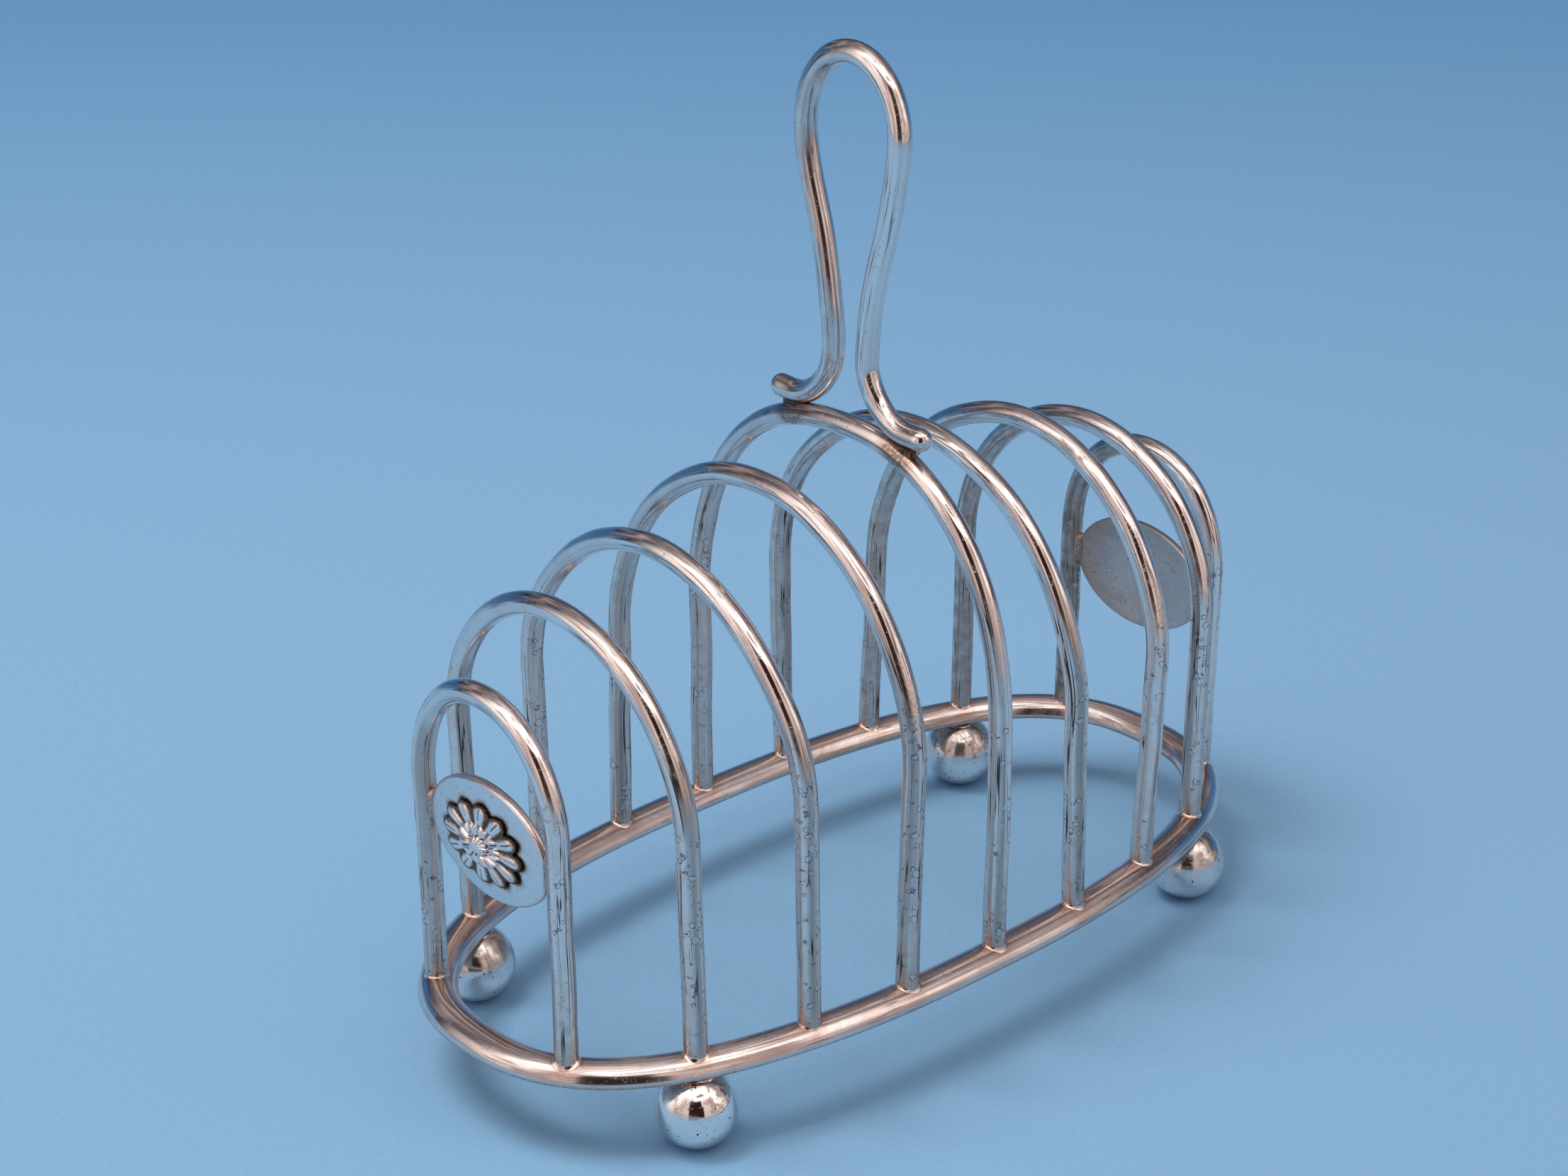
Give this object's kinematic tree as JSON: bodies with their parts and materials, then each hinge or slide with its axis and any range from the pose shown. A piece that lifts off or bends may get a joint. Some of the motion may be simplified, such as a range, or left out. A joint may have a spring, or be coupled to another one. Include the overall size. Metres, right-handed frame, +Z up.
{
  "type": "toast rack",
  "caption": "Oval silver-plated wire toast rack: hooped dividers rising to a tall loop handle, end plates with a rosette, ball feet.",
  "frame": {"origin": "on the table, under the middle of the rack: the centre of the bounding box's bottom face", "axes": "+X along the row of wire arches, from the plate with the rosette to the plain plate; +Y across the rack; +Z up"},
  "size_m": [0.1704, 0.0838, 0.168],
  "materials": {
    "wire": "worn polished silver plate with tarnish streaks",
    "ring": "worn polished silver plate with warm tarnish",
    "ball": "polished silver plate with fine pits",
    "plate": "satin worn silver plate",
    "relief": "satin silver plate, dark oxide in the recesses"
  },
  "bodies": {
    "root": {"base_ring": "ring", "arch_1": "wire", "arch_2": "wire", "arch_3": "wire", "arch_4": "wire", "arch_5": "wire", "arch_6": "wire", "arch_7": "wire", "arch_8": "wire", "arch_9": "wire", "loop_handle": "wire", "ball_foot_1": "ball", "ball_foot_2": "ball", "ball_foot_3": "ball", "ball_foot_4": "ball", "end_plate_front": "plate", "end_plate_back": "plate", "rosette_badge": "relief"}
  },
  "joints": []
}
